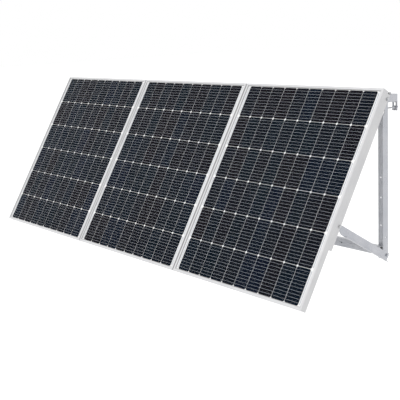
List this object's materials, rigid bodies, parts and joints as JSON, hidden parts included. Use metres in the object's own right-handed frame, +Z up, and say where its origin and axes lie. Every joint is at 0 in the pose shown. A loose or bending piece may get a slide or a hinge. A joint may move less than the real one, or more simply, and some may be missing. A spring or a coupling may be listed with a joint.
{
  "type": "balcony solar panel set",
  "caption": "Row of framed solar modules on folding tilt brackets with hooks that hang over a balcony railing.",
  "frame": {"origin": "on top of the balcony railing, under the hook arms, at the middle of the row", "axes": "+X along the row (to the right as seen from the front), +Y back towards the balcony, +Z up"},
  "size_m": [3, 0.6888, 0.99],
  "materials": {
    "frame_aluminium": "satin natural anodised",
    "bracket_aluminium": "satin mill finish",
    "solar_glass": "clear low-iron glass",
    "cell_laminate": "dark cells over a white backsheet",
    "box_plastic": "fine grain"
  },
  "bodies": {
    "brackets": {"post_1_left": "bracket_aluminium", "hook_arm_1_left": "bracket_aluminium", "post_1_right": "bracket_aluminium", "hook_arm_1_right": "bracket_aluminium", "post_2_left": "bracket_aluminium", "hook_arm_2_left": "bracket_aluminium", "post_2_right": "bracket_aluminium", "hook_arm_2_right": "bracket_aluminium", "post_3_left": "bracket_aluminium", "hook_arm_3_left": "bracket_aluminium", "post_3_right": "bracket_aluminium", "hook_arm_3_right": "bracket_aluminium", "cross_rail_1": "bracket_aluminium", "cross_rail_2": "bracket_aluminium", "cross_rail_3": "bracket_aluminium", "post_joiner_1": "bracket_aluminium", "post_joiner_2": "bracket_aluminium"},
    "module_1": {"frame_bottom_1": "frame_aluminium", "frame_top_1": "frame_aluminium", "frame_left_1": "frame_aluminium", "frame_right_1": "frame_aluminium", "glass_1": "solar_glass", "laminate_1": "cell_laminate", "junction_box_1": "box_plastic", "panel_rail_1_left": "bracket_aluminium", "panel_rail_1_right": "bracket_aluminium"},
    "struts_1": {"strut_1_left": "bracket_aluminium", "strut_1_right": "bracket_aluminium"},
    "module_2": {"frame_bottom_2": "frame_aluminium", "frame_top_2": "frame_aluminium", "frame_left_2": "frame_aluminium", "frame_right_2": "frame_aluminium", "glass_2": "solar_glass", "laminate_2": "cell_laminate", "junction_box_2": "box_plastic", "panel_rail_2_left": "bracket_aluminium", "panel_rail_2_right": "bracket_aluminium"},
    "struts_2": {"strut_2_left": "bracket_aluminium", "strut_2_right": "bracket_aluminium"},
    "module_3": {"frame_bottom_3": "frame_aluminium", "frame_top_3": "frame_aluminium", "frame_left_3": "frame_aluminium", "frame_right_3": "frame_aluminium", "glass_3": "solar_glass", "laminate_3": "cell_laminate", "junction_box_3": "box_plastic", "panel_rail_3_left": "bracket_aluminium", "panel_rail_3_right": "bracket_aluminium"},
    "struts_3": {"strut_3_left": "bracket_aluminium", "strut_3_right": "bracket_aluminium"},
    "hook_1_left": {"hook_tongue_1_left": "bracket_aluminium"},
    "hook_1_right": {"hook_tongue_1_right": "bracket_aluminium"},
    "hook_2_left": {"hook_tongue_2_left": "bracket_aluminium"},
    "hook_2_right": {"hook_tongue_2_right": "bracket_aluminium"},
    "hook_3_left": {"hook_tongue_3_left": "bracket_aluminium"},
    "hook_3_right": {"hook_tongue_3_right": "bracket_aluminium"}
  },
  "joints": [
    {"name": "panel_tilt_1", "type": "hinge", "parent": "brackets", "child": "module_1", "pos_m": [-0.998, -0.048, 0.017], "axis": [1, 0, 0], "range_deg": [0, 15]},
    {"name": "strut_swing_1", "type": "hinge", "parent": "module_1", "child": "struts_1", "pos_m": [-0.998, -0.38999, -0.55216], "axis": [1, 0, 0], "range_deg": [-56.55, 0]},
    {"name": "panel_tilt_2", "type": "hinge", "parent": "brackets", "child": "module_2", "pos_m": [0, -0.048, 0.017], "axis": [1, 0, 0], "range_deg": [0, 15]},
    {"name": "strut_swing_2", "type": "hinge", "parent": "module_2", "child": "struts_2", "pos_m": [0, -0.38999, -0.55216], "axis": [1, 0, 0], "range_deg": [-56.55, 0]},
    {"name": "panel_tilt_3", "type": "hinge", "parent": "brackets", "child": "module_3", "pos_m": [0.998, -0.048, 0.017], "axis": [1, 0, 0], "range_deg": [0, 15]},
    {"name": "strut_swing_3", "type": "hinge", "parent": "module_3", "child": "struts_3", "pos_m": [0.998, -0.38999, -0.55216], "axis": [1, 0, 0], "range_deg": [-56.55, 0]},
    {"name": "hook_slide_1_left", "type": "slide", "parent": "brackets", "child": "hook_1_left", "axis": [0, 1, 0], "range_m": [0, 0.012]},
    {"name": "hook_slide_1_right", "type": "slide", "parent": "brackets", "child": "hook_1_right", "axis": [0, 1, 0], "range_m": [0, 0.012]},
    {"name": "hook_slide_2_left", "type": "slide", "parent": "brackets", "child": "hook_2_left", "axis": [0, 1, 0], "range_m": [0, 0.012]},
    {"name": "hook_slide_2_right", "type": "slide", "parent": "brackets", "child": "hook_2_right", "axis": [0, 1, 0], "range_m": [0, 0.012]},
    {"name": "hook_slide_3_left", "type": "slide", "parent": "brackets", "child": "hook_3_left", "axis": [0, 1, 0], "range_m": [0, 0.012]},
    {"name": "hook_slide_3_right", "type": "slide", "parent": "brackets", "child": "hook_3_right", "axis": [0, 1, 0], "range_m": [0, 0.012]}
  ],
  "couplings": [
    {"joint": "strut_swing_1", "follows": "panel_tilt_1", "ratio": -3.77},
    {"joint": "strut_swing_2", "follows": "panel_tilt_2", "ratio": -3.77},
    {"joint": "strut_swing_3", "follows": "panel_tilt_3", "ratio": -3.77}
  ]
}
